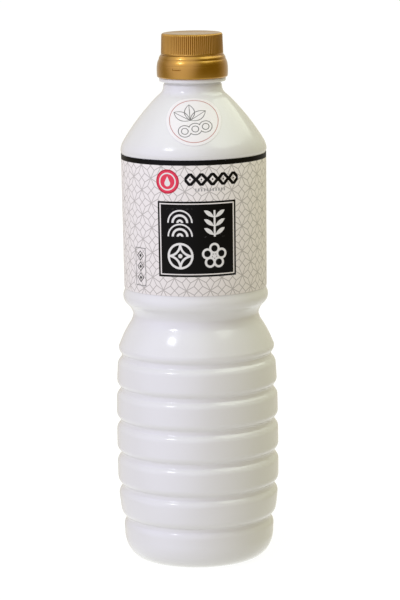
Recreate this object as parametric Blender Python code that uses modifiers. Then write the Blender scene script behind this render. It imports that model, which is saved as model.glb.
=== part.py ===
# A one litre soy sauce bottle, full and shut.
# Its pieces are the ribbed bottle of opaque white plastic, the sleeve label in its waisted
# upper panel, the round sticker on its shoulder, and the gold cap in two pieces: a base ring
# that snaps on the neck and a knurled screw cap.
# The bottle stands on z = 0 with its axis on Z, and the front of the label faces -Y.
# Outlines are lists of (radius, height) and run from the top down.

import math

import bpy

MM = 0.001
GAP = 0.3 * MM                       # play between two pieces that touch

# Ribbed lower body
CREST_RADIUS = 42.15 * MM            # widest rib crest
CREST_HEIGHT = 60.0 * MM             # height of the widest crest
BELLY_HEIGHT = 112.3 * MM            # upper edge of the topmost rib
BELLY_DROP = 1.8 * MM                # how far the crests draw in up to that edge
LOWER_DROP = 2.25 * MM               # and down to the lowest groove
FOOT_BAND_TOP_RADIUS = 39.55 * MM    # the plain band under the lowest groove
FOOT_BAND_BOTTOM_RADIUS = 39.0 * MM
HEEL_HEIGHT = 13.5 * MM              # where the rounded heel begins
GROOVE_COUNT = 6
GROOVE_PITCH = 17.2 * MM
TOP_GROOVE_HEIGHT = 108.4 * MM
GROOVE_DEPTH = 1.5 * MM
LOWEST_GROOVE_DEPTH = 0.6 * MM       # below the foot band, which is narrower already
GROOVE_HALF_WIDTH = 3.6 * MM
FOOT_RADIUS = 28.6 * MM              # outer edge of the ring it stands on
FOOT_WIDTH = 2.5 * MM
PUNT_DEPTH = 3.0 * MM                # rise of the base inside the foot ring

# Waist, label panel and shoulder; each pair is a radius and a height
BELLY_SLOPE_TOP = (39.35 * MM, 114.6 * MM)
WAIST_LOWER = (34.6 * MM, 123.9 * MM)
WAIST = (32.5 * MM, 129.2 * MM)
WAIST_UPPER = (35.3 * MM, 134.4 * MM)
PANEL_FOOT = (36.8 * MM, 141.7 * MM)
PANEL_FOOT_BULGE = 1.1 * MM
WAIST_UPPER_HOLLOW = 0.55 * MM
WAIST_LOWER_HOLLOW = 0.5 * MM
BELLY_SLOPE_BULGE = 0.1 * MM
LABEL_TOP = 212.5 * MM
LABEL_BOTTOM = 143.5 * MM
LABEL_TOP_RADIUS = 37.45 * MM
LABEL_BOTTOM_RADIUS = 36.95 * MM
LABEL_THICKNESS = 0.3 * MM
BEAD = (37.6 * MM, 215.4 * MM)       # the ridge over the label
BEAD_TOP_BULGE = 0.25 * MM
BEAD_FOOT_BULGE = 0.3 * MM
SHOULDER_START = (18.15 * MM, 242.2 * MM)
SHOULDER_END = (36.0 * MM, 219.5 * MM)
SHOULDER_BULGE = 0.87 * MM           # how far the shoulder swells from a straight cone

# Neck
NECK_RADIUS = 15.1 * MM
NECK_ROOT_HEIGHT = 245.9 * MM
NECK_ROOT_HOLLOW = 0.5 * MM
FLANGE_RADIUS = 17.1 * MM
FLANGE_TOP = 251.6 * MM
FLANGE_THICKNESS = 1.7 * MM
FLANGE_BEVEL = 0.4 * MM
FINISH_RADIUS = 13.4 * MM            # the mouth that the cap closes
FINISH_TOP = 271.2 * MM

# Cap
RING_RADIUS = 18.1 * MM              # base ring at its widest
RING_SHOULDER_HEIGHT = 256.2 * MM    # where the ring reaches its full width
RING_FLARE = (17.0 * MM, 261.2 * MM)
RING_FLARE_BULGE = 0.3 * MM
RING_TOP_RADIUS = 16.0 * MM
RING_TOP = 263.2 * MM
RING_CHAMFER = (0.2 * MM, 0.6 * MM)
RING_FOOT_ROUNDING = (0.6 * MM, 0.8 * MM, 0.2 * MM)   # inwards, upwards and its bulge
CAP_RADIUS = 15.6 * MM               # knurl crests at the top of the screw cap
CAP_TOP = 274.3 * MM
CAP_RIM = 0.5 * MM                   # chamfer round the top face
CAP_DRAFT = 0.25 * MM                # how much wider the knurl is at its foot
CAP_LIP_HEIGHT = 1.1 * MM
CAP_LIP_FLARE = 0.05 * MM
KNURL_COUNT = 90
KNURL_DEPTH = 0.3 * MM
SLOT_AZIMUTH = math.radians(-28.0)   # from the front, towards +X
SLOT_SIZE = (5.2 * MM, 1.4 * MM, 0.7 * MM)
SLOT_HEIGHT = 256.7 * MM

# Sticker
STICKER_RADIUS = 14.4 * MM
STICKER_THICKNESS = 0.25 * MM
STICKER_AZIMUTH = math.radians(-1.2)

# Fineness of the turned pieces
BODY_STEPS = 56
RING_STEPS = 48
STICKER_STEPS = 28
STICKER_RINGS = 4
HEEL_STEPS = 6
SHARP_ANGLE = math.radians(35.0)
MERGE_DISTANCE = 0.01 * MM

# Name: colour, roughness, metallic
FINISHES = {
    "bottle": ((0.84, 0.84, 0.86), 0.25, 0.0),
    "label": ((0.83, 0.81, 0.80), 0.4, 0.0),
    "shoulder_sticker": ((0.90, 0.88, 0.87), 0.35, 0.0),
    "cap_base_ring": ((0.62, 0.38, 0.09), 0.3, 0.85),
    "screw_cap": ((0.62, 0.38, 0.09), 0.3, 0.85),
}


def clear_scene():
    for obj in list(bpy.data.objects):
        bpy.data.objects.remove(obj, do_unlink=True)


def new_collection(name):
    collection = bpy.data.collections.new(name)
    bpy.context.scene.collection.children.link(collection)
    return collection


def move_to(obj, collection):
    for owner in list(obj.users_collection):
        owner.objects.unlink(obj)
    collection.objects.link(obj)


def arc(start, end, bulge, steps):
    """Points after start, up to end, on the circular arc whose middle swells out by bulge."""
    along_r, along_z = end[0] - start[0], end[1] - start[1]
    chord = math.hypot(along_r, along_z)
    along_r, along_z = along_r / chord, along_z / chord
    out_r, out_z = -along_z, along_r
    radius = (chord * chord / 4 + bulge * bulge) / (2 * bulge)
    half_angle = math.asin(chord / 2 / abs(radius))
    middle_r, middle_z = (start[0] + end[0]) / 2, (start[1] + end[1]) / 2
    points = []
    for step in range(1, steps + 1):
        angle = half_angle * (2 * step / steps - 1)
        out = bulge - radius * (1 - math.cos(angle))
        along = abs(radius) * math.sin(angle)
        points.append((middle_r + out * out_r + along * along_r,
                       middle_z + out * out_z + along * along_z))
    return points


def groove_heights():
    return [TOP_GROOVE_HEIGHT - GROOVE_PITCH * index for index in range(GROOVE_COUNT)]


def crest_radius(height):
    """The barrel that the rib crests lie on, and the foot band under it."""
    lowest_groove = groove_heights()[-1]
    if height > CREST_HEIGHT:
        return CREST_RADIUS - BELLY_DROP * ((height - CREST_HEIGHT) / (BELLY_HEIGHT - CREST_HEIGHT)) ** 3
    if height > lowest_groove:
        return CREST_RADIUS - LOWER_DROP * ((CREST_HEIGHT - height) / (CREST_HEIGHT - lowest_groove)) ** 3.5
    share = (height - HEEL_HEIGHT) / (lowest_groove - HEEL_HEIGHT)
    return FOOT_BAND_BOTTOM_RADIUS + share * (FOOT_BAND_TOP_RADIUS - FOOT_BAND_BOTTOM_RADIUS)


def ribbed_outline():
    """The belly edge and the grooves, each a smooth dip between two crests."""
    points = [(crest_radius(BELLY_HEIGHT), BELLY_HEIGHT)]
    for groove in groove_heights():
        depth = LOWEST_GROOVE_DEPTH if groove == groove_heights()[-1] else GROOVE_DEPTH
        for share in (1.0, 0.5, 0.0, -0.5, -1.0):
            height = groove + share * GROOVE_HALF_WIDTH
            dip = depth * (1 + math.cos(math.pi * share)) / 2
            if height < BELLY_HEIGHT:
                points.append((crest_radius(height) - dip, height))
    return points


def heel_outline():
    """A quarter ellipse from the foot band round to the foot ring."""
    points = []
    for step in range(HEEL_STEPS + 1):
        angle = math.pi / 2 * step / HEEL_STEPS
        points.append((FOOT_RADIUS + (FOOT_BAND_BOTTOM_RADIUS - FOOT_RADIUS) * math.cos(angle),
                       HEEL_HEIGHT * (1 - math.sin(angle))))
    return points


def punt_outline():
    """The shallow dome inside the foot ring, up to the axis."""
    edge = FOOT_RADIUS - FOOT_WIDTH
    return [(edge, 0.0), (edge * 0.93, PUNT_DEPTH * 0.35), (edge * 0.7, PUNT_DEPTH * 0.7), (0.0, PUNT_DEPTH)]


def flange_outline():
    """The support ring under the cap, with its corners taken off."""
    bottom = FLANGE_TOP - FLANGE_THICKNESS
    edge = FLANGE_RADIUS - FLANGE_BEVEL
    return [(edge, FLANGE_TOP), (FLANGE_RADIUS, FLANGE_TOP - FLANGE_BEVEL),
            (FLANGE_RADIUS, bottom + FLANGE_BEVEL), (edge, bottom), (NECK_RADIUS, bottom)]


def panel_radius(height):
    """The bottle behind the label, which tapers with it."""
    share = (height - LABEL_BOTTOM) / (LABEL_TOP - LABEL_BOTTOM)
    outside = LABEL_BOTTOM_RADIUS + share * (LABEL_TOP_RADIUS - LABEL_BOTTOM_RADIUS)
    return outside - LABEL_THICKNESS - GAP


def upper_outline():
    """Neck, shoulder, label panel and waist, down to the belly."""
    points = [(0.0, FINISH_TOP), (FINISH_RADIUS, FINISH_TOP), (FINISH_RADIUS, FLANGE_TOP)]
    points += flange_outline()
    points.append((NECK_RADIUS, NECK_ROOT_HEIGHT))
    points += arc(points[-1], SHOULDER_START, -NECK_ROOT_HOLLOW, 3)
    points += arc(SHOULDER_START, SHOULDER_END, SHOULDER_BULGE, 7)
    points += arc(SHOULDER_END, BEAD, BEAD_TOP_BULGE, 2)
    panel_top = LABEL_TOP + GAP
    panel_bottom = LABEL_BOTTOM - GAP
    points += arc(BEAD, (panel_radius(panel_top), panel_top), BEAD_FOOT_BULGE, 3)
    points.append((panel_radius(panel_bottom), panel_bottom))
    points.append(PANEL_FOOT)
    points += arc(PANEL_FOOT, WAIST_UPPER, PANEL_FOOT_BULGE, 4)
    points += arc(WAIST_UPPER, WAIST, -WAIST_UPPER_HOLLOW, 3)
    points += arc(WAIST, WAIST_LOWER, -WAIST_LOWER_HOLLOW, 2)
    points += arc(WAIST_LOWER, BELLY_SLOPE_TOP, BELLY_SLOPE_BULGE, 2)
    return points


def turned(name, outline, steps, collection, closed=False):
    """A new object: the outline turned round Z by a Screw modifier."""
    mesh = bpy.data.meshes.new(name)
    edges = [(index, index + 1) for index in range(len(outline) - 1)]
    if closed:
        edges.append((len(outline) - 1, 0))
    mesh.from_pydata([(radius, 0.0, height) for radius, height in outline], edges, [])
    obj = bpy.data.objects.new(name, mesh)
    collection.objects.link(obj)
    screw = obj.modifiers.new("Turn", "SCREW")
    screw.steps = steps
    screw.render_steps = steps
    screw.use_merge_vertices = True
    screw.merge_threshold = MERGE_DISTANCE
    return obj


def apply_modifiers(obj):
    depsgraph = bpy.context.evaluated_depsgraph_get()
    mesh = bpy.data.meshes.new_from_object(obj.evaluated_get(depsgraph))
    outline_mesh = obj.data
    obj.modifiers.clear()
    obj.data = mesh
    bpy.data.meshes.remove(outline_mesh)


def finish(obj):
    """Applies what is left, shades the round faces smooth and gives the piece its material."""
    apply_modifiers(obj)
    obj.data.shade_smooth()
    obj.data.set_sharp_from_angle(angle=SHARP_ANGLE)
    colour, roughness, metallic = FINISHES[obj.name]
    material = bpy.data.materials.new(obj.name)
    material.use_nodes = True
    shader = material.node_tree.nodes["Principled BSDF"]
    shader.inputs["Base Color"].default_value = (*colour, 1.0)
    shader.inputs["Roughness"].default_value = roughness
    shader.inputs["Metallic"].default_value = metallic
    obj.data.materials.clear()
    obj.data.materials.append(material)


def solidify(obj, thickness):
    """Gives an open surface its thickness, on the outer side."""
    modifier = obj.modifiers.new("Thickness", "SOLIDIFY")
    modifier.thickness = thickness
    modifier.offset = 1.0


def cut(obj, cutter):
    modifier = obj.modifiers.new("Cut", "BOOLEAN")
    modifier.operation = "DIFFERENCE"
    modifier.solver = "EXACT"
    modifier.object = cutter
    cutter.hide_render = True
    cutter.display_type = "WIRE"


def on_cylinder(radius, azimuth, height):
    """A point at an azimuth from the front of the bottle, towards +X."""
    return (radius * math.sin(azimuth), -radius * math.cos(azimuth), height)


def make_bottle(parts):
    outline = upper_outline() + ribbed_outline() + heel_outline() + punt_outline()
    bottle = turned("bottle", outline, BODY_STEPS, parts)
    finish(bottle)


def make_label(parts):
    """A sleeve round the panel, turned at its inner face and thickened outwards."""
    outline = [(LABEL_TOP_RADIUS - LABEL_THICKNESS, LABEL_TOP),
               (LABEL_BOTTOM_RADIUS - LABEL_THICKNESS, LABEL_BOTTOM)]
    label = turned("label", outline, BODY_STEPS, parts)
    solidify(label, LABEL_THICKNESS)
    finish(label)


def shoulder_point(distance):
    """Radius, height and outward normal on the shoulder, at a distance down its slope."""
    along_r, along_z = SHOULDER_END[0] - SHOULDER_START[0], SHOULDER_END[1] - SHOULDER_START[1]
    chord = math.hypot(along_r, along_z)
    along_r, along_z = along_r / chord, along_z / chord
    radius = (chord * chord / 4 + SHOULDER_BULGE ** 2) / (2 * SHOULDER_BULGE)
    angle = (distance - shoulder_length() / 2) / radius
    out = SHOULDER_BULGE - radius * (1 - math.cos(angle))
    along = chord / 2 + radius * math.sin(angle)
    normal_r = -along_z * math.cos(angle) + along_r * math.sin(angle)
    normal_z = along_r * math.cos(angle) + along_z * math.sin(angle)
    return (SHOULDER_START[0] + along * along_r - out * along_z,
            SHOULDER_START[1] + along * along_z + out * along_r, normal_r, normal_z)


def shoulder_length():
    chord = math.dist(SHOULDER_START, SHOULDER_END)
    radius = (chord * chord / 4 + SHOULDER_BULGE ** 2) / (2 * SHOULDER_BULGE)
    return 2 * radius * math.asin(chord / 2 / radius)


def make_sticker(parts):
    """A flat disc, laid on the shoulder: its x runs round the bottle, its y up the slope."""
    outline = [(STICKER_RADIUS * index / STICKER_RINGS, 0.0) for index in range(STICKER_RINGS + 1)]
    sticker = turned("shoulder_sticker", outline, STICKER_STEPS, parts)
    apply_modifiers(sticker)
    for vertex in sticker.data.vertices:
        distance = shoulder_length() / 2 - vertex.co.y
        radius, height, normal_r, normal_z = shoulder_point(distance)
        azimuth = STICKER_AZIMUTH + vertex.co.x / radius
        vertex.co = on_cylinder(radius + GAP * normal_r, azimuth, height + GAP * normal_z)
    solidify(sticker, STICKER_THICKNESS)
    finish(sticker)


def make_base_ring(parts, cutters):
    """The wide ring that holds the cap to the neck, with a small pull slot in its side."""
    inner_radius = FINISH_RADIUS + GAP
    bottom = FLANGE_TOP + GAP
    chamfer_in, chamfer_down = RING_CHAMFER
    foot_in, foot_up, foot_bulge = RING_FOOT_ROUNDING
    outline = [(inner_radius, RING_TOP), (RING_TOP_RADIUS - chamfer_in, RING_TOP),
               (RING_TOP_RADIUS, RING_TOP - chamfer_down), RING_FLARE]
    outline += arc(RING_FLARE, (RING_RADIUS, RING_SHOULDER_HEIGHT), RING_FLARE_BULGE, 4)
    outline.append((RING_RADIUS, bottom + foot_up))
    outline += arc(outline[-1], (RING_RADIUS - foot_in, bottom), foot_bulge, 2)
    outline.append((inner_radius, bottom))
    ring = turned("cap_base_ring", outline, RING_STEPS, parts, closed=True)

    place = on_cylinder(RING_RADIUS, SLOT_AZIMUTH, SLOT_HEIGHT)
    bpy.ops.mesh.primitive_cube_add(size=1.0, location=place, rotation=(0.0, 0.0, SLOT_AZIMUTH))
    slot = bpy.context.object
    slot.name = "slot_cutter"
    slot.scale = SLOT_SIZE
    move_to(slot, cutters)
    cut(ring, slot)
    finish(ring)


def knurl(obj, low, high):
    """Pushes in every second line of points between two heights, which leaves the ribs."""
    steps = 2 * KNURL_COUNT
    for vertex in obj.data.vertices:
        index = round(math.atan2(vertex.co.y, vertex.co.x) / math.tau * steps)
        if low <= vertex.co.z <= high and index % 2:
            radius = math.hypot(vertex.co.x, vertex.co.y)
            scale = (radius - KNURL_DEPTH) / radius
            vertex.co.x *= scale
            vertex.co.y *= scale


def make_screw_cap(parts, cutters):
    """A knurled cup over the mouth, with a plain lip at its foot."""
    bottom = RING_TOP + GAP
    foot_radius = CAP_RADIUS + CAP_DRAFT
    knurl_top = CAP_TOP - CAP_RIM
    knurl_bottom = bottom + CAP_LIP_HEIGHT
    outline = [(0.0, CAP_TOP), (CAP_RADIUS - CAP_RIM, CAP_TOP), (CAP_RADIUS, knurl_top),
               (foot_radius, knurl_bottom), (foot_radius + CAP_LIP_FLARE, bottom), (0.0, bottom)]
    cap = turned("screw_cap", outline, 2 * KNURL_COUNT, parts)
    apply_modifiers(cap)
    knurl(cap, knurl_bottom - MERGE_DISTANCE, knurl_top + MERGE_DISTANCE)

    hollow_top = FINISH_TOP + GAP
    bpy.ops.mesh.primitive_cylinder_add(vertices=RING_STEPS, radius=FINISH_RADIUS + GAP,
                                        depth=2 * (hollow_top - bottom), location=(0.0, 0.0, bottom))
    hollow = bpy.context.object
    hollow.name = "mouth_cutter"
    move_to(hollow, cutters)
    cut(cap, hollow)
    finish(cap)


def main():
    clear_scene()
    parts = new_collection("soy_sauce_bottle")
    cutters = new_collection("cutters")
    make_bottle(parts)
    make_label(parts)
    make_sticker(parts)
    make_base_ring(parts, cutters)
    make_screw_cap(parts, cutters)


main()
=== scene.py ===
# The looks of a full, shut soy sauce bottle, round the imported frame.
# Sizes in the dictionaries are in millimetres and heights stand on the floor, z = 0.
# The bottle's axis is Z and the front of its label faces -Y.

import math

import bpy
from mathutils import Euler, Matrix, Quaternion, Vector


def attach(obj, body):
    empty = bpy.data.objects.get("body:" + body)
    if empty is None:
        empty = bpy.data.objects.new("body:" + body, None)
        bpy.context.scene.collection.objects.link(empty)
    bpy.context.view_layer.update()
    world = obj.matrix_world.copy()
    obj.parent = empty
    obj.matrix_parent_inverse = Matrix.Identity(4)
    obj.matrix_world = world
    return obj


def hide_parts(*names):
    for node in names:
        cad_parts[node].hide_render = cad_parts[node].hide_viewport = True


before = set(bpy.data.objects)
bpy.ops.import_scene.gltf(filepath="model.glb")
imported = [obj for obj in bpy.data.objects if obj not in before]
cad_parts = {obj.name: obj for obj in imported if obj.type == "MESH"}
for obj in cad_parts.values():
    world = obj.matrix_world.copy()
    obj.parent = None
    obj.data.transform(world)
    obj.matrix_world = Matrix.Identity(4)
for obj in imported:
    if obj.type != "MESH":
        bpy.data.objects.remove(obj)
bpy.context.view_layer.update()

mm = 0.001
scene = bpy.context.scene


# Camera, as the photograph was taken

photoCamera = {
    "distance": 1.4508,                  # on the level, from the bottle's axis, in metres
    "height": 0.3834,
    "azimuth": math.radians(-2.05),      # round from the front of the label, towards +X
    "aimHeight": 0.1354,
    "lean": math.radians(0.866),         # how far the bottle leans to the left in the picture
    "lens": 169.83,
    "sensor": 36.0,
    "shift": 0.0070,                     # of the picture's long side
}


def onCylinder(radius, azimuth, height):
    return Vector((radius * math.sin(azimuth), -radius * math.cos(azimuth), height))


def makeCamera():
    shot = photoCamera
    place = onCylinder(shot["distance"], shot["azimuth"], shot["height"])
    aim = Vector((0, 0, shot["aimHeight"])) - place
    turn = aim.to_track_quat("-Z", "Y") @ Quaternion((0, 0, 1), -shot["lean"])
    bpy.ops.object.camera_add(location=place, rotation=turn.to_euler())
    camera = bpy.context.object
    camera.data.lens = shot["lens"]
    camera.data.sensor_width = shot["sensor"]
    camera.data.shift_x = shot["shift"]
    camera.data.dof.use_dof = False
    scene.camera = camera


# Outlines, as lists of radius and height that run from the top down

quarterBulge = 0.29      # of a rounded corner: how far its middle swells out, over its radius


def arcPoints(start, end, bulge, steps):
    # The points after start, up to end, of the circular arc whose middle swells out by bulge.
    chord = math.dist(start, end)
    alongR, alongZ = (end[0] - start[0]) / chord, (end[1] - start[1]) / chord
    radius = (chord * chord / 4 + bulge * bulge) / (2 * bulge)
    halfAngle = math.asin(chord / 2 / abs(radius))
    points = []
    for step in range(1, steps + 1):
        angle = halfAngle * (2 * step / steps - 1)
        out = bulge - radius * (1 - math.cos(angle))
        along = chord / 2 + abs(radius) * math.sin(angle)
        points.append((start[0] + along * alongR - out * alongZ,
                       start[1] + along * alongZ + out * alongR))
    return points


def arcChain(start, arcs):
    # Arcs in a row, each given by its end, its bulge and its number of steps.
    points = []
    for end, bulge, steps in arcs:
        points += arcPoints(start, end, bulge, steps)
        start = end
    return points


def cornerPoints(start, end, steps):
    # A rounded corner, as wide as it is high.
    return arcPoints(start, end, quarterBulge * abs(end[0] - start[0]), steps)


def softened(outline, spacing, rounds):
    # Walks an outline in even steps and averages neighbours, as a blown wall rounds its corners.
    points = [outline[0]]
    for before, after in zip(outline, outline[1:]):
        steps = max(1, round(math.dist(before, after) / spacing))
        for step in range(1, steps + 1):
            share = step / steps
            points.append((before[0] + share * (after[0] - before[0]),
                           before[1] + share * (after[1] - before[1])))
    for sweep in range(rounds):
        inner = [((a[0] + 2 * b[0] + c[0]) / 4, (a[1] + 2 * b[1] + c[1]) / 4)
                 for a, b, c in zip(points, points[1:], points[2:])]
        points = [points[0], *inner, points[-1]]
    return points


# Hand tools for the pieces

mergeDistance = 0.004 * mm


def deselectAll():
    bpy.ops.object.select_all(action="DESELECT")


def drawOutline(name, outline, closed=False):
    # One point is extruded along the outline, which leaves a wire in edit mode.
    deselectAll()
    bpy.ops.mesh.primitive_plane_add(size=mm, location=(outline[0][0] * mm, 0, outline[0][1] * mm))
    piece = bpy.context.object
    piece.name = name
    piece.data.name = name
    bpy.ops.object.mode_set(mode="EDIT")
    bpy.ops.mesh.merge(type="CENTER")
    stops = outline[1:] + ([outline[0]] if closed else [])
    for before, after in zip(outline, stops):
        stride = ((after[0] - before[0]) * mm, 0, (after[1] - before[1]) * mm)
        bpy.ops.mesh.extrude_region_move(TRANSFORM_OT_translate={"value": stride})
    return piece


def turnOutline(name, outline, steps, closed=False):
    # The wire is spun round Z, its seam and poles are merged and its faces made to point out.
    piece = drawOutline(name, outline, closed)
    bpy.ops.mesh.select_all(action="SELECT")
    bpy.ops.mesh.spin(steps=steps, angle=math.tau, center=(0, 0, 0), axis=(0, 0, 1))
    bpy.ops.mesh.select_all(action="SELECT")
    bpy.ops.mesh.remove_doubles(threshold=mergeDistance)
    bpy.ops.mesh.normals_make_consistent(inside=False)
    bpy.ops.object.mode_set(mode="OBJECT")
    bpy.ops.object.transform_apply(location=True, rotation=True, scale=True)
    return piece


def selectVertices(piece, test):
    # Picks vertices by their place, for the edit operators.
    bpy.ops.object.mode_set(mode="EDIT")
    bpy.ops.mesh.select_mode(type="VERT")
    bpy.ops.mesh.select_all(action="DESELECT")
    bpy.ops.object.mode_set(mode="OBJECT")
    for vertex in piece.data.vertices:
        vertex.select = test(vertex.co / mm)
    bpy.ops.object.mode_set(mode="EDIT")


def widenSelected(factor):
    # Moves what is selected away from the axis, or towards it, and leaves edit mode.
    bpy.ops.transform.resize(value=(factor, factor, 1), center_override=(0, 0, 0))
    bpy.ops.object.mode_set(mode="OBJECT")


def applyModifier(piece, kind, **settings):
    modifier = piece.modifiers.new(kind.title(), kind)
    for name, value in settings.items():
        setattr(modifier, name, value)
    bpy.context.view_layer.objects.active = piece
    bpy.ops.object.modifier_apply(modifier=modifier.name)


def finishPiece(piece, material, node, sharpAngle=40):
    deselectAll()
    piece.select_set(True)
    bpy.context.view_layer.objects.active = piece
    bpy.ops.object.transform_apply(location=True, rotation=True, scale=True)
    bpy.ops.object.shade_smooth_by_angle(angle=math.radians(sharpAngle))
    piece.data.materials.clear()
    piece.data.materials.append(material)
    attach(piece, "root")
    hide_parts(node)


# Shader maths

class Shade:
    # Wraps one socket of a material; sums and products of these add Math nodes.

    def __init__(self, tree, socket=None):
        self.tree = tree
        self.socket = socket

    def node(self, kind, settings=None, sockets=None, output=0):
        made = self.tree.nodes.new("ShaderNode" + kind)
        for name, value in (settings or {}).items():
            setattr(made, name, value)
        for name, value in (sockets or {}).items():
            if isinstance(value, Shade):
                self.tree.links.new(value.socket, made.inputs[name])
            else:
                made.inputs[name].default_value = value
        return Shade(self.tree, made.outputs[output] if made.outputs else None)

    def maths(self, operation, *values):
        return self.node("Math", {"operation": operation}, dict(enumerate(values)))

    def __add__(self, other):
        return self.maths("ADD", self, other)

    def __sub__(self, other):
        return self.maths("SUBTRACT", self, other)

    def __rsub__(self, other):
        return self.maths("SUBTRACT", other, self)

    def __mul__(self, other):
        return self.maths("MULTIPLY", self, other)

    def __truediv__(self, other):
        return self.maths("DIVIDE", self, other)

    def __pow__(self, other):
        return self.maths("POWER", self, other)

    def __abs__(self):
        return self.maths("ABSOLUTE", self)

    def __and__(self, other):
        return self.maths("MAXIMUM", self, other)      # of distances: where both shapes are

    def __or__(self, other):
        return self.maths("MINIMUM", self, other)      # of distances: where either shape is

    def folded(self, half):
        return self.maths("PINGPONG", self, half)

    def wrapped(self, period):
        return self.maths("FLOORED_MODULO", self, period)

    __radd__ = __add__
    __rmul__ = __mul__


def newMaterial(name):
    material = bpy.data.materials.new(name)
    material.use_nodes = True
    material.node_tree.nodes.clear()
    return material, Shade(material.node_tree)


def closeMaterial(tree, sockets):
    shader = tree.node("BsdfPrincipled", None, sockets)
    tree.node("OutputMaterial", None, {"Surface": shader})


def place(tree):
    # Object coordinates in millimetres.
    spot = tree.node("TexCoord", output="Object")
    return tree.node("VectorMath", {"operation": "SCALE"}, {0: spot, "Scale": 1 / mm})


def split(vector):
    # The x, y and z of a vector.
    parts = vector.node("SeparateXYZ", None, {0: vector}).socket.node.outputs
    return [Shade(vector.tree, part) for part in parts]


def noise(spot, grain):
    return spot.node("TexNoise", None, {"Vector": spot, "Scale": grain[0], "Detail": grain[1]})


def colour(*values):
    return (*values, 1.0)


def mixed(factor, first, second, blend="MIX"):
    # Sockets 6 and 7 and output 2 are the colours of a Mix node.
    return factor.node("Mix", {"data_type": "RGBA", "blend_type": blend},
                       {0: factor, 6: first, 7: second}, output=2)


def relief(height, look):
    return height.node("Bump", None, {"Height": height, "Strength": look["bumpStrength"],
                                      "Distance": look["bumpDepth"] * mm})


def unevenRoughness(smear, look):
    # A noise is 0.5 in the mean.
    return look["roughness"] + (smear - 0.5) * look["roughnessChange"]


# Printed shapes, as distances in millimetres that are below 0 inside

def span(x, y):
    return (x * x + y * y) ** 0.5


def ringShape(x, y, radius, stroke):
    return abs(span(x, y) - radius) - stroke / 2


def boxShape(x, y, halfWidth, halfHeight):
    return (abs(x) - halfWidth) & (abs(y) - halfHeight)


def dropShape(x, y, radius, tip):
    # A round drop about the origin that runs up to a point at tip.
    lean = radius / tip
    side = abs(x) * math.sqrt(1 - lean * lean) + (y - tip) * lean
    return (span(x, y) - radius) | (side & (radius * lean - y))


def leafShape(along, across, length, halfWidth):
    middle = along - length / 2
    return abs(across) - halfWidth * (1 - middle * middle * (4 / length / length))


def anyOf(shapes):
    joined = shapes[0]
    for shape in shapes[1:]:
        joined = joined | shape
    return joined


def alongLine(x, y, start, degrees):
    # The same place measured along and across a line that leaves start at an angle.
    rise, run = math.sin(math.radians(degrees)), math.cos(math.radians(degrees))
    x, y = x - start[0], y - start[1]
    return x * run + y * rise, y * run - x * rise


def ink(distance, edge=0.08):
    # 1 inside a printed shape and 0 outside, over a soft edge.
    return distance.node("MapRange", {"clamp": True},
                         {0: distance, 1: edge / 2, 2: -edge / 2, 3: 0.0, 4: 1.0})


# Plastic and lacquer

plasticLook = {
    "colour": (0.800, 0.798, 0.805),
    "cloud": 0.02,               # share by which the colour varies
    "cloudGrain": (0.03, 3.0),   # every grain is its waves per millimetre and its detail
    "roughness": 0.15,
    "roughnessChange": 0.06,
    "smearGrain": (0.12, 4.0),   # of the roughness
    "peelGrain": (0.22, 1.0),    # moulded unevenness of the wall
    "bumpStrength": 0.25,
    "bumpDepth": 0.03,
    "ior": 1.57,
}

goldLook = {
    "colour": (0.53, 0.282, 0.036),
    "shade": (0.47, 0.242, 0.028),
    "coat": 0.8,
    "coatRoughness": 0.18,
    "roughness": 0.33,
    "roughnessChange": 0.08,
    "smearGrain": (0.4, 3.0),
    "flakeGrain": (3.0, 2.0),
    "bumpStrength": 0.3,
    "bumpDepth": 0.006,
}


def makeBottlePlastic():
    look = plasticLook
    material, tree = newMaterial("bottlePlastic")
    spot = place(tree)
    light = colour(*(value * (1 + look["cloud"]) for value in look["colour"]))
    dark = colour(*(value * (1 - look["cloud"]) for value in look["colour"]))
    closeMaterial(tree, {
        "Base Color": mixed(noise(spot, look["cloudGrain"]), dark, light),
        "Roughness": unevenRoughness(noise(spot, look["smearGrain"]), look),
        "IOR": look["ior"],
        "Normal": relief(noise(spot, look["peelGrain"]), look),
    })
    return material


def makeGoldLacquer():
    look = goldLook
    material, tree = newMaterial("goldLacquer")
    spot = place(tree)
    flake = noise(spot, look["flakeGrain"])
    closeMaterial(tree, {
        "Base Color": mixed(flake, colour(*look["shade"]), colour(*look["colour"])),
        "Metallic": 1.0,
        "Roughness": unevenRoughness(noise(spot, look["smearGrain"]), look),
        "Coat Weight": look["coat"],
        "Coat Roughness": look["coatRoughness"],
        "Normal": relief(flake, look),
    })
    return material


# Label film; across runs round the label to the viewer's right of its middle, up is the height

filmLook = {
    "paper": (0.875, 0.832, 0.812),
    "lattice": (0.520, 0.490, 0.470),
    "black": (0.004, 0.0035, 0.0035),
    "markBlack": (0.05, 0.05, 0.05),
    "white": (0.82, 0.81, 0.80),
    "grey": (0.40, 0.39, 0.39),
    "darkGrey": (0.22, 0.215, 0.21),
    "red": (0.78, 0.055, 0.105),
    "darkRed": (0.50, 0.02, 0.05),
    "roughness": 0.42,
    "roughnessChange": 0.06,
    "specular": 0.09,
    "fibreGrain": (0.9, 3.0),
    "bumpStrength": 0.15,
    "bumpDepth": 0.01,
}

latticePrint = {
    "width": 12.4, "height": 12.66,              # of a diamond
    "startAcross": 0.1, "startUp": 0.80,
    "stroke": 0.42, "edge": 0.12,
    "bow": 0.104,                                # of a stroke, in widths of a diamond
}

stripePrint = {"depth": 2.6}                     # from the label's upper edge

squarePrint = {"up": 172.76, "half": (19.15, 17.75), "borderHalf": (20.8, 19.3), "borderStroke": 1.0}

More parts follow.
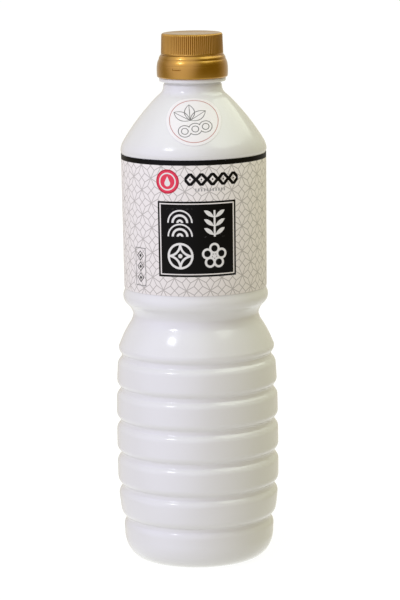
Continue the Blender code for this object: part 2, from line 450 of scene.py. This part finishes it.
# The motifs in the square; place is the foot of the first two and the middle of the others
motifStroke = 1.15
wavesPrint = {"place": (-8.95, 174.2), "fans": 2, "fanHeight": 7.0, "fanRadius": 6.6,
              "firstArc": 1.2, "arcPitch": 2.6}
sprigPrint = {"place": (8.95, 173.9), "halfWidth": 6.4, "pairs": 3, "pairPitch": 4.5,
              "leafFoot": 0.6, "leafStart": 0.4, "leafRun": 0.80, "leafRise": 0.60,
              "leafSize": (6.6, 1.05), "stemHalf": 0.5175}
circlesPrint = {"place": (-8.95, 164.2), "radius": 6.2, "eyeRadius": 1.1}
blossomPrint = {"place": (8.7, 164.0), "petals": 5, "petalPlace": 3.9, "petalRadius": 2.25,
                "eyeRadius": 1.05}

roundelPrint = {"place": (-15.2, 202.1), "radius": 6.2, "rim": 0.6,
                "dropLow": 0.9, "dropRadius": 1.55, "dropTip": 3.6,
                "ringRadius": 4.2, "ringStroke": 0.7}

diamondPrint = {"start": -6.2, "count": 5, "pitch": 5.74, "up": 203.2, "halfHeight": 3.2,
                "acrossSlant": 0.85, "upSlant": 0.75, "reach": 2.304, "stroke": 1.75,
                "eyeDepth": 1.9}                 # from the outline in to the filled middle

dotPrint = {"place": (6.95, 197.9), "half": (7.8, 0.95), "pitch": 1.5, "dotHalf": (0.40, 0.75)}

boxPrint = {"place": (-33.2, 157.35), "half": (3.95, 9.85), "stroke": 0.4,
            "marks": (163.1, 157.45, 151.8), "markHalf": 2.6, "markStroke": 0.65, "eyeDepth": 1.56}


def latticeShape(across, up):
    # Hemp-leaf lattice: diamonds whose sides are doubled into two bowed strokes.
    shape = latticePrint
    x = (across - shape["startAcross"]) / shape["width"]
    z = (up - shape["startUp"]) / shape["height"]
    side = math.sqrt(0.5)                # of a diamond, in periods
    p = ((x + z) * side).folded(side / 2)
    q = ((x - z) * side).folded(side / 2)
    longer, shorter = p & q, p | q
    slope = shape["bow"] / (side / 2)
    fromNode = abs(shorter - longer * slope) * (1 / math.hypot(1, slope))
    fromMiddle = (side / 2 - longer) & (shape["bow"] - shorter)
    return (fromNode | fromMiddle) * shape["width"] - shape["stroke"] / 2


def wavesShape(x, y):
    # Two fans of arcs, one over the other.
    shape = wavesPrint
    half = shape["fans"] * shape["fanHeight"] / 2
    reach = span(x, y.wrapped(shape["fanHeight"]))
    arcs = (reach - shape["firstArc"]).folded(shape["arcPitch"] / 2) - motifStroke / 2
    return arcs & (reach - shape["fanRadius"]) & boxShape(x, y - half, shape["fanRadius"], half)


def sprigShape(x, y):
    # An upright stem with three pairs of leaves.
    shape = sprigPrint
    half = shape["pairs"] * shape["pairPitch"] / 2
    side = abs(x)
    rise = y.wrapped(shape["pairPitch"]) - shape["leafFoot"]
    along = side * shape["leafRun"] + rise * shape["leafRise"]
    across = rise * shape["leafRun"] - side * shape["leafRise"]
    leaves = leafShape(along - shape["leafStart"], across, *shape["leafSize"])
    stem = side - shape["stemHalf"]
    return (leaves | stem) & boxShape(x, y - half, shape["halfWidth"], half)


def circlesShape(x, y):
    # Four circles that overlap in a fifth, with an eye.
    shape = circlesPrint
    radius = shape["radius"]
    side, rise = abs(x), abs(y)
    reach = span(side, rise)
    outer = abs(reach - radius) - motifStroke / 2
    petals = ringShape(side - radius, rise - radius, radius, motifStroke) & (reach - radius)
    return outer | petals | (reach - shape["eyeRadius"])


def blossomShape(x, y):
    # Five round petals and an eye.
    shape = blossomPrint
    fold = x.maths("ARCTAN2", x, y).folded(math.pi / shape["petals"])
    reach = span(x, y)
    along = reach * fold.maths("COSINE", fold) - shape["petalPlace"]
    across = reach * fold.maths("SINE", fold)
    return ringShape(across, along, shape["petalRadius"], motifStroke) | (reach - shape["eyeRadius"])


def squareLayers(across, up):
    # The black square in its thin border, and the white motifs.
    rise = up - squarePrint["up"]
    plate = boxShape(across, rise, *squarePrint["borderHalf"])
    border = plate & (0 - plate - squarePrint["borderStroke"])
    square = boxShape(across, rise, *squarePrint["half"])
    motifs = []
    for shape, draw in ((wavesPrint, wavesShape), (sprigPrint, sprigShape),
                        (circlesPrint, circlesShape), (blossomPrint, blossomShape)):
        left, foot = shape["place"]
        motifs.append(draw(across - left, up - foot))
    return [(ink(plate), "paper"), (ink(border), "black"), (ink(square), "black"),
            (ink(anyOf(motifs)), "white")]


def roundelLayers(across, up):
    # A red disc with a darker rim, and on it a drop in a ring.
    shape = roundelPrint
    x, y = across - shape["place"][0], up - shape["place"][1]
    disc = span(x, y) - shape["radius"]
    inRim = ink(disc + shape["rim"])
    drop = dropShape(x, y + shape["dropLow"], shape["dropRadius"], shape["dropTip"])
    ring = ringShape(x, y, shape["ringRadius"], shape["ringStroke"])
    return [(ink(disc), "darkRed"), (inRim, "red"), (ink(drop | ring) * inRim, "white")]


def diamondLayers(across, up):
    # A row of diamonds with filled middles.
    shape = diamondPrint
    x, y = across - shape["start"], up - shape["up"]
    half = shape["pitch"] / 2
    cell = (x - half).folded(half)
    diamond = cell * shape["acrossSlant"] + abs(y) * shape["upSlant"] - shape["reach"]
    row = (abs(diamond) - shape["stroke"] / 2) | (diamond + shape["eyeDepth"])
    halfRow = shape["count"] * half
    return [(ink(row & boxShape(x - halfRow, y, halfRow, shape["halfHeight"])), "black")]


def dotLayers(across, up):
    # A fine dotted line.
    shape = dotPrint
    x, y = across - shape["place"][0], up - shape["place"][1]
    dots = boxShape(x.folded(shape["pitch"] / 2), y, *shape["dotHalf"])
    return [(ink(dots & boxShape(x, y, *shape["half"])), "grey")]


def boxLayers(across, up):
    # A small upright box with a column of diamonds with filled middles.
    shape = boxPrint
    x, y = across - shape["place"][0], up - shape["place"][1]
    line = shape["stroke"] / 2
    box = abs(boxShape(x, y, *shape["half"]) + line) - line
    line = shape["markStroke"] / 2
    marks = []
    for height in shape["marks"]:
        mark = abs(x) + abs(up - height) - shape["markHalf"]
        marks.append((abs(mark + line) - line) | (mark + shape["eyeDepth"]))
    return [(ink(box), "darkGrey"), (ink(anyOf(marks)), "markBlack")]


def makeLabelFilm():
    look = filmLook
    material, tree = newMaterial("labelFilm")
    spot = place(tree)
    x, y, up = split(spot)
    across = x.maths("ARCTAN2", x, y * -1.0) * labelShape["topRadius"]
    layers = [(ink(latticeShape(across, up), latticePrint["edge"]), "lattice")]
    for draw in (squareLayers, roundelLayers, diamondLayers, dotLayers, boxLayers):
        layers += draw(across, up)
    layers.append((ink(labelShape["top"] - stripePrint["depth"] - up), "black"))
    tint = colour(*look["paper"])
    for mask, name in layers:
        tint = mixed(mask, tint, colour(*look[name]))

    fibre = noise(spot, look["fibreGrain"])
    closeMaterial(tree, {
        "Base Color": tint,
        "Roughness": unevenRoughness(fibre, look),
        "Specular IOR Level": look["specular"],
        "Normal": relief(fibre, look),
    })
    return material


# Sticker film

stickerLook = {
    "paper": (0.90, 0.875, 0.885),
    "ring": (0.50, 0.20, 0.19),
    "line": (0.10, 0.10, 0.10),
    "roughness": 0.32,
    "roughnessChange": 0.05,
    "fibreGrain": (1.2, 3.0),
    "bumpStrength": 0.12,
    "bumpDepth": 0.01,
}

stickerPrint = {
    "ringRadius": 12.95, "ringStroke": 0.42, "stroke": 0.42, "veinStroke": 0.336,
    "podPlace": (0.6, -5.0), "podTurn": 14,      # turns are in degrees
    "beans": (-5.6, 0.0, 5.6), "beanRadius": 3.4, "seedRadius": 1.768,
    "leafFoot": (-1.9, 0.2), "leafTurns": (36, 93, 150), "leafSize": (9.9, 2.6),
}


def podAndLeaves(x, y):
    # A bean pod and three leaves in fine lines.
    shape = stickerPrint
    half = shape["stroke"] / 2
    along, across = alongLine(x, y, shape["podPlace"], shape["podTurn"])
    bean = anyOf([span(along - centre, across) for centre in shape["beans"]])
    lines = [abs(bean - shape["beanRadius"]) - half, abs(bean - shape["seedRadius"]) - half]
    for turn in shape["leafTurns"]:
        along, across = alongLine(x, y, shape["leafFoot"], turn)
        leaf = leafShape(along, across, *shape["leafSize"])
        lines += [abs(leaf) - half, (abs(across) - shape["veinStroke"] / 2) & leaf]
    return anyOf(lines)


def makeStickerFilm():
    look = stickerLook
    material, tree = newMaterial("stickerFilm")
    flat = tree.node("UVMap", {"uv_map": "flat"})
    x, y = [(part - 0.5) * (stickerShape["radius"] * 2) for part in split(flat)[:2]]
    ring = ringShape(x, y, stickerPrint["ringRadius"], stickerPrint["ringStroke"])
    tint = mixed(ink(ring), colour(*look["paper"]), colour(*look["ring"]))
    tint = mixed(ink(podAndLeaves(x, y)), tint, colour(*look["line"]))
    fibre = noise(place(tree), look["fibreGrain"])
    closeMaterial(tree, {
        "Base Color": tint,
        "Roughness": unevenRoughness(fibre, look),
        "Normal": relief(fibre, look),
    })
    return material


# Bottle

bottleShape = {
    "postRadius": 13.4, "postTop": 271.2,            # the mouth that the cap hides
    "flangeRadius": 17.1, "flangeTop": 251.6, "flangeThickness": 2.0, "flangeRound": 0.45,
    "neckRadius": 15.1, "neckRecess": 0.8, "recessHeight": 1.5,
    "neckRoot": 245.9, "neckHollow": 0.5,
    "shoulderStart": (18.15, 242.2), "shoulderEnd": (36.0, 219.5), "shoulderBulge": 0.87,
    "bead": (37.6, 215.4), "beadTopBulge": 0.25, "beadFootBulge": 0.3,
    "panelGap": 0.36,                                # from the label's face to the wall behind it
    "panelOverrun": 0.3,                             # of the panel past the label's edges
    "panelFoot": (36.8, 141.7), "panelFootBulge": 1.5,
    "waistUpper": (35.3, 134.4), "waistUpperHollow": 0.42,
    "waist": (32.5, 129.2), "waistLowerHollow": 0.38,
    "waistLower": (34.6, 123.9),
    "bellySlope": (39.35, 114.6), "bellySlopeBulge": 0.28,
    "bellyHeight": 112.3, "bellyOverlap": 2, "bellyMargin": 0.3,     # where wall and barrel meet
    "crestRadius": 42.15, "crestHeight": 60.0,
    "bellyDrop": 1.8, "bellyPower": 3,               # how the crests draw in above the widest
    "lowerDrop": 2.25, "lowerPower": 3.5,            # and below it
    "grooveCount": 6, "groovePitch": 17.2, "topGroove": 108.4,
    "grooveDepth": 1.9, "lowestDepth": 1.4,
    "grooveOver": 3.4, "grooveUnder": 5.7, "grooveFlat": 2.3,
    "footBandTop": 39.55, "footBandBottom": 39.0, "heelHeight": 13.5, "heelSteps": 24,
    "footRadius": 28.6, "footWidth": 2.5, "footStep": (1.2, 0.9),
    "puntDepth": 3.0, "puntCurve": ((0.7, 0.75), (0.35, 1.0)),       # shares of width and depth
    "gateRadius": 3.2, "gateDrop": 0.7, "gateSlope": 0.6,
    "wallSpacing": 0.6, "wallSoftening": 3,
    "barrelSpacing": 0.30, "puntSpacing": 0.8, "softening": 2, "steps": 144,
}


def crestRadius(height):
    # The barrel that the rib crests lie on, and the plain band under the lowest groove.
    shape = bottleShape
    lowest = shape["topGroove"] - shape["groovePitch"] * (shape["grooveCount"] - 1)
    above = height - shape["crestHeight"]
    if above > 0:
        share = above / (shape["bellyHeight"] - shape["crestHeight"])
        return shape["crestRadius"] - shape["bellyDrop"] * share ** shape["bellyPower"]
    if height > lowest:
        share = above / (lowest - shape["crestHeight"])
        return shape["crestRadius"] - shape["lowerDrop"] * share ** shape["lowerPower"]
    share = (height - shape["heelHeight"]) / (lowest - shape["heelHeight"])
    return shape["footBandBottom"] + share * (shape["footBandTop"] - shape["footBandBottom"])


def grooveDip(height):
    # Steep under the band above, upright for a moment, then a ledge that rounds off to the band below.
    shape = bottleShape
    for index in range(shape["grooveCount"]):
        last = index == shape["grooveCount"] - 1
        depth = shape["lowestDepth"] if last else shape["grooveDepth"]
        above = height - (shape["topGroove"] - shape["groovePitch"] * index)
        if 0 <= above < shape["grooveOver"]:
            return depth * (1 - above / shape["grooveOver"]) ** 2
        if -shape["grooveUnder"] < above < 0:
            ledge = shape["grooveUnder"] - shape["grooveFlat"]
            share = max(0, -above - shape["grooveFlat"]) / ledge
            return depth * (1 - share) ** 2
    return 0.0


def panelRadius(height):
    shape = labelShape
    share = (height - shape["bottom"]) / (shape["top"] - shape["bottom"])
    outside = shape["bottomRadius"] + share * (shape["topRadius"] - shape["bottomRadius"])
    return outside - bottleShape["panelGap"]


def flangeOutline():
    # The post in the cap, the flange under it and the recess under that.
    shape = bottleShape
    edge = shape["flangeRadius"] - shape["flangeRound"]
    under = shape["flangeTop"] - shape["flangeThickness"]
    recess = shape["neckRadius"] - shape["neckRecess"]
    outline = [(0.0, shape["postTop"]), (shape["postRadius"], shape["postTop"]),
               (shape["postRadius"], shape["flangeTop"]), (edge, shape["flangeTop"])]
    upperEnd = (shape["flangeRadius"], shape["flangeTop"] - shape["flangeRound"])
    outline += cornerPoints(outline[-1], upperEnd, 4)
    outline.append((shape["flangeRadius"], under + shape["flangeRound"]))
    outline += cornerPoints(outline[-1], (edge, under), 4)
    outline += [(recess, under), (recess, under - shape["recessHeight"] / 2)]
    return outline


def wallOutline(start):
    # The neck, shoulder, bead, label panel and waist, down to the barrel.
    shape = bottleShape
    neckTop = shape["flangeTop"] - shape["flangeThickness"] - shape["recessHeight"]
    neckRoot = (shape["neckRadius"], shape["neckRoot"])
    panelTop = labelShape["top"] + shape["panelOverrun"]
    panelBottom = labelShape["bottom"] - shape["panelOverrun"]
    wall = [start, (shape["neckRadius"], neckTop), neckRoot]
    wall += arcChain(neckRoot, (
        (shape["shoulderStart"], -shape["neckHollow"], 6),
        (shape["shoulderEnd"], shape["shoulderBulge"], 16),
        (shape["bead"], shape["beadTopBulge"], 5),
        ((panelRadius(panelTop), panelTop), shape["beadFootBulge"], 5)))
    wall += [(panelRadius(panelBottom), panelBottom), shape["panelFoot"]]
    wall += arcChain(shape["panelFoot"], (
        (shape["waistUpper"], shape["panelFootBulge"], 8),
        (shape["waist"], -shape["waistUpperHollow"], 6),
        (shape["waistLower"], -shape["waistLowerHollow"], 6),
        (shape["bellySlope"], shape["bellySlopeBulge"], 6)))
    for height in (shape["bellyHeight"], shape["bellyHeight"] - shape["bellyOverlap"]):
        wall.append((crestRadius(height), height))
    wall = softened(wall, shape["wallSpacing"], shape["wallSoftening"])
    return [point for point in wall if point[1] > shape["bellyHeight"] + shape["bellyMargin"]]


def barrelOutline():
    # The ribs, grooves and foot band.
    shape = bottleShape
    drop = shape["bellyHeight"] - shape["heelHeight"]
    count = round(drop / shape["barrelSpacing"])
    barrel = []
    for step in range(count + 1):
        height = shape["bellyHeight"] - drop * step / count
        barrel.append((crestRadius(height) - grooveDip(height), height))
    return softened(barrel, shape["barrelSpacing"], shape["softening"])


def heelOutline():
    # A quarter of an ellipse, down to the ring that it stands on.
    shape = bottleShape
    reach = shape["footBandBottom"] - shape["footRadius"]
    heel = []
    for step in range(1, shape["heelSteps"] + 1):
        angle = math.pi / 2 * step / shape["heelSteps"]
        heel.append((shape["footRadius"] + reach * math.cos(angle),
                     shape["heelHeight"] * (1 - math.sin(angle))))
    return heel


def puntOutline():
    # The domed base with the mark of the gate in its middle.
    shape = bottleShape
    inside = shape["footRadius"] - shape["footWidth"]
    gate = shape["puntDepth"] - shape["gateDrop"]
    punt = [(inside, 0.0), (inside - shape["footStep"][0], shape["footStep"][1])]
    punt += [(inside * across, shape["puntDepth"] * rise) for across, rise in shape["puntCurve"]]
    punt += [(shape["gateRadius"] + shape["gateSlope"], shape["puntDepth"]),
             (shape["gateRadius"], gate), (0.0, gate)]
    return softened(punt, shape["puntSpacing"], shape["softening"])


def makeBottle(material):
    outline = flangeOutline()
    outline += wallOutline(outline[-1])[1:]
    outline += barrelOutline() + heelOutline() + puntOutline()
    bottle = turnOutline("bottle_body", outline, bottleShape["steps"])
    finishPiece(bottle, material, "bottle")
    return bottle


# Label

labelShape = {
    "top": 212.85, "bottom": 143.5, "topRadius": 37.45, "bottomRadius": 36.95,
    "edgeInset": 0.06, "edgeHeight": 0.12,           # of the slope at the film's edges
    "thickness": 0.28, "lapHalf": 4.0, "lapRise": 0.12, "steps": 240,
}


def makeLabel(material):
    shape = labelShape
    outline = [(shape["topRadius"] - shape["edgeInset"], shape["top"]),
               (shape["topRadius"], shape["top"] - shape["edgeHeight"]),
               (shape["bottomRadius"], shape["bottom"] + shape["edgeHeight"]),
               (shape["bottomRadius"] - shape["edgeInset"], shape["bottom"])]
    label = turnOutline("label_sleeve", outline, shape["steps"])

    # The end of the film laps over its start at the back
    selectVertices(label, lambda spot: spot.y > 0 and abs(spot.x) < shape["lapHalf"])
    widenSelected(1 + shape["lapRise"] / shape["topRadius"])
    applyModifier(label, "SOLIDIFY", thickness=shape["thickness"] * mm, offset=-1)
    finishPiece(label, material, "label")


# Sticker on the shoulder

stickerShape = {
    "radius": 14.8, "azimuth": math.radians(-1.2), "vertices": 96, "rings": 12,
    "standOff": 3,                                   # from a straight shoulder, before it is laid on
    "swell": 1,                                      # of the real shoulder, which its width follows
    "lift": 0.06, "thickness": 0.16,
}


def makeSticker(material, bottle):
    shape = stickerShape
    start, end = bottleShape["shoulderStart"], bottleShape["shoulderEnd"]
    slope = math.atan2(start[1] - end[1], end[0] - start[0])
    deselectAll()
    bpy.ops.mesh.primitive_circle_add(vertices=shape["vertices"], radius=shape["radius"] * mm,
                                      fill_type="TRIFAN", calc_uvs=True)
    sticker = bpy.context.object
    sticker.name = "shoulder_label"
    sticker.data.name = "shoulder_label"
    bpy.ops.object.mode_set(mode="EDIT")
    bpy.ops.mesh.select_all(action="SELECT")
    bpy.ops.mesh.subdivide(number_cuts=shape["rings"] - 1)
    bpy.ops.object.mode_set(mode="OBJECT")
    sticker.data.uv_layers[0].name = "flat"

    # Bent to the cone: each point keeps its way round and its way up the slope
    for vertex in sticker.data.vertices:
        x, y = vertex.co.x / mm, vertex.co.y / mm
        radius = (start[0] + end[0]) / 2 - y * math.cos(slope)
        height = (start[1] + end[1]) / 2 + y * math.sin(slope)
        azimuth = shape["azimuth"] + x / (radius + shape["swell"])
        vertex.co = onCylinder(radius + shape["standOff"], azimuth, height + shape["standOff"]) * mm
    applyModifier(sticker, "SHRINKWRAP", target=bottle, wrap_method="NEAREST_SURFACEPOINT",
                  wrap_mode="OUTSIDE_SURFACE", offset=shape["lift"] * mm)
    applyModifier(sticker, "SOLIDIFY", thickness=shape["thickness"] * mm, offset=1)
    finishPiece(sticker, material, "shoulder_sticker")


# Cap

collarShape = {
    "innerRadius": 13.7, "top": 263.2, "topRadius": 16.5, "topRound": 0.42,
    "upperFlare": (17.2, 261.15), "upperBulge": 0.13,
    "lowerFlare": (18.15, 258.1), "middleBulge": 0.17, "lowerBulge": 0.12,
    "creaseDepth": 0.06, "creaseDrops": (0.12, 0.30),       # to its floor and to its lower edge
    "radius": 18.2, "foot": 251.62, "footRound": 0.8,
    "spacing": 0.12, "softening": 2, "steps": 192,
    "slotAzimuth": math.radians(-28.0), "slotHeight": 256.9,
    "slotSize": (4.8, 0.7, 0.8), "slotSlope": 0.6,
}

capShape = {
    "top": 274.3, "bottom": 263.25, "radius": 15.72, "rim": 1.2,
    "draft": 0.27, "draftStart": (0.01, 0.5),               # outwards and down from the rim
    "lipHeight": 0.8, "lipFlare": 0.03, "lipEdge": 0.1, "lipRound": 0.15,
    "hollowRadius": 13.7, "hollowTop": 271.5,
    "dish": 0.25, "dishInset": 1.4, "dishSlope": 0.8,
    "ribs": 90, "ribColumns": 8, "ribDepth": 0.30,
    "ribRunOut": 0.3, "ribTop": 0.1,                        # from the lip and from the top face
}


def makeBaseRing(material):
    shape = collarShape
    band = (shape["radius"], shape["foot"] + shape["footRound"])
    outer = [(shape["topRadius"] - shape["topRound"], shape["top"])]
    outer += cornerPoints(outer[-1], (shape["topRadius"], shape["top"] - shape["topRound"]), 6)

    # Two fine creases part the flares and the band under them
    for stop, bulge in ((shape["upperFlare"], shape["upperBulge"]),
                        (shape["lowerFlare"], shape["middleBulge"])):
        outer += arcPoints(outer[-1], stop, bulge, 10)
        floorDrop, edgeDrop = shape["creaseDrops"]
        outer += [(stop[0] - shape["creaseDepth"], stop[1] - floorDrop),
                  (stop[0] + shape["creaseDepth"], stop[1] - edgeDrop)]
    outer += arcPoints(outer[-1], band, shape["lowerBulge"], 10)
    outer += cornerPoints(outer[-1], (shape["radius"] - shape["footRound"], shape["foot"]), 6)
    outer = softened(outer, shape["spacing"], shape["softening"])
    outline = [(shape["innerRadius"], shape["top"]), *outer, (shape["innerRadius"], shape["foot"])]
    ring = turnOutline("cap_ring", outline, shape["steps"], closed=True)

    # A pull slot, cut with a small block whose floor slopes out
    spot = onCylinder(shape["radius"], shape["slotAzimuth"], shape["slotHeight"]) * mm
    deselectAll()
    bpy.ops.mesh.primitive_cube_add(size=mm, location=spot, rotation=(0, 0, shape["slotAzimuth"]))
    cutter = bpy.context.object
    cutter.scale = shape["slotSize"]
    bpy.ops.object.transform_apply(location=False, rotation=False, scale=True)
    selectVertices(cutter, lambda corner: corner.y < 0 and corner.z < 0)
    bpy.ops.transform.translate(value=(0, 0, -shape["slotSlope"] * mm))
    bpy.ops.object.mode_set(mode="OBJECT")
    applyModifier(ring, "BOOLEAN", operation="DIFFERENCE", solver="EXACT", object=cutter)
    bpy.data.objects.remove(cutter)
    finishPiece(ring, material, "cap_base_ring", sharpAngle=30)


def capOutline(knurlTop, knurlFoot):
    # The dished top, the rim, the knurled side, the lip and the hollow.
    shape = capShape
    foot = shape["radius"] + shape["draft"]
    lip = foot + shape["lipFlare"]
    dishRadius = shape["radius"] - shape["rim"] - shape["dishInset"]
    dishHeight = shape["top"] - shape["dish"]
    draftOut, draftDown = shape["draftStart"]
    outline = [(0.0, dishHeight), (dishRadius, dishHeight),
               (dishRadius + shape["dishSlope"], shape["top"]),
               (shape["radius"] - shape["rim"], shape["top"])]
    outline += cornerPoints(outline[-1], (shape["radius"], knurlTop), 8)
    outline += [(shape["radius"] + draftOut, knurlTop - draftDown),
                (foot, knurlFoot + shape["ribRunOut"]), (foot, knurlFoot)]
    outline += [(lip, knurlFoot - shape["lipEdge"]), (lip, shape["bottom"] + shape["lipRound"]),
                (foot - shape["lipEdge"], shape["bottom"]),
                (shape["hollowRadius"], shape["bottom"]),
                (shape["hollowRadius"], shape["hollowTop"]), (0.0, shape["hollowTop"])]
    return outline


def makeScrewCap(material):
    shape = capShape
    knurlTop = shape["top"] - shape["rim"]
    knurlFoot = shape["bottom"] + shape["lipHeight"]
    columns = shape["ribs"] * shape["ribColumns"]
    cap = turnOutline("cap_top", capOutline(knurlTop, knurlFoot), columns)

    def onKnurl(spot):
        outside = math.hypot(spot.x, spot.y) > shape["radius"] - shape["rim"]
        low = knurlFoot + shape["ribRunOut"] / 2
        return outside and low < spot.z < shape["top"] - shape["ribTop"]

    def ribColumn(spot):
        return round(math.atan2(spot.y, spot.x) / math.tau * columns) % shape["ribColumns"]

    # Every rib is left standing between valleys, whose columns are drawn in by steps
    half = shape["ribColumns"] // 2
    for offset in range(1, half + 1):
        pair = (offset, shape["ribColumns"] - offset)
        selectVertices(cap, lambda spot: onKnurl(spot) and ribColumn(spot) in pair)
        widenSelected(1 - shape["ribDepth"] * (offset / half) ** 3 / shape["radius"])
    finishPiece(cap, material, "screw_cap", sharpAngle=50)


# Floor and light

floorLook = {
    "size": 24,                              # in metres
    "dark": (0.24, 0.24, 0.24),
    "light": (0.26, 0.26, 0.26),
    "cloudGrain": (0.02, 2.0),
    "roughness": 0.9,
    "glow": 0.84,
}

# Each lamp's place is its azimuth and elevation in degrees and its distance, in metres as its size
lampAim = Vector((0, 0, 0.15))
lamps = {
    "key": {"place": (-48, 40, 1.40), "size": (0.24, 0.17), "faces": "bottle",
            "power": 2.2, "colour": (0.88, 0.92, 1.0)},
    "upperKey": {"place": (-47, 48.5, 1.40), "size": (0.42, 0.04), "faces": "bottle",
                 "power": 0.15, "colour": (0.88, 0.92, 1.0)},
    "overheadPanel": {"place": (113.6, 41.7, 1.53), "size": (0.70, 2.40), "faces": "floor",
                      "turn": -20, "power": 9.3, "colour": (0.92, 1.0, 0.88)},
}

studioRoom = {
    "colour": (0.23, 0.166, 0.012),          # all round
    "windowAzimuth": math.radians(-42),
    "windowElevation": math.radians(25),
    "parts": {                               # what each adds, and the span over which it comes in
        "window": {"colour": (0.845, 0.88, 1.265), "span": (0.35, 0.95)},
        "ceiling": {"colour": (0.41, 0.505, 0.37), "span": (0.5, 0.9)},
        "backdrop": {"colour": (0.46, 0.47, 0.52), "span": (-0.1, 1.0)},
        "ground": {"colour": (0.627, 0.70, 0.775), "span": (0.1, 0.6)},
    },
}


def makeFloor():
    look = floorLook
    deselectAll()
    bpy.ops.mesh.primitive_plane_add(size=look["size"])
    floor = bpy.context.object
    floor.name = "floor"
    floor.visible_diffuse = False        # the lower half of the world stands for its bounce
    floor.visible_glossy = False
    material, tree = newMaterial("paleFloor")
    cloud = noise(place(tree), look["cloudGrain"])
    closeMaterial(tree, {
        "Base Color": mixed(cloud, colour(*look["dark"]), colour(*look["light"])),
        "Roughness": look["roughness"],
        "Specular IOR Level": 0.0,
        "Emission Color": colour(1.0, 1.0, 1.0),
        "Emission Strength": look["glow"],
    })
    floor.data.materials.append(material)


def makeLights():
    for name, lamp in lamps.items():
        azimuth, elevation = [math.radians(angle) for angle in lamp["place"][:2]]
        distance = lamp["place"][2]
        offset = onCylinder(distance * math.cos(elevation), azimuth, distance * math.sin(elevation))
        if lamp["faces"] == "floor":
            turn = Euler((0, 0, math.radians(lamp["turn"])))
        else:
            turn = (-offset).to_track_quat("-Z", "Y").to_euler()
        bpy.ops.object.light_add(type="AREA", location=lampAim + offset, rotation=turn)
        light = bpy.context.object
        light.name = name
        light.data.shape = "RECTANGLE"
        light.data.size, light.data.size_y = lamp["size"]
        light.data.energy = lamp["power"]
        light.data.color = lamp["colour"]


def makeWorld():
    # A room with a wide window to the front left, a bright ceiling, a backdrop and a pale ground.
    room = studioRoom
    world = bpy.data.worlds.new("studio")
    scene.world = world
    world.use_nodes = True
    world.node_tree.nodes.clear()
    tree = Shade(world.node_tree)
    x, y, z = split(tree.node("TexCoord", output="Generated"))
    window = onCylinder(1.0, room["windowAzimuth"], math.tan(room["windowElevation"])).normalized()
    towards = {"window": x * window.x + y * window.y + z * window.z,
               "ceiling": z, "backdrop": y, "ground": z * -1.0}
    glow = colour(*room["colour"])
    for name, part in room["parts"].items():
        low, high = part["span"]
        share = tree.node("MapRange", {"interpolation_type": "SMOOTHSTEP"},
                          {0: towards[name], 1: low, 2: high})
        glow = mixed(share, glow, colour(*part["colour"]), blend="ADD")
    background = tree.node("Background", None, {"Color": glow, "Strength": 1.0})
    tree.node("OutputWorld", None, {"Surface": background})
    scene.view_settings.view_transform = "Standard"


makeCamera()
print("camera set")
goldLacquer = makeGoldLacquer()
bottle = makeBottle(makeBottlePlastic())
print("bottle turned")
makeLabel(makeLabelFilm())
print("label wrapped")
makeSticker(makeStickerFilm(), bottle)
print("sticker laid")
makeBaseRing(goldLacquer)
makeScrewCap(goldLacquer)
print("cap made")
makeFloor()
makeLights()
makeWorld()
print("floor and lights set")
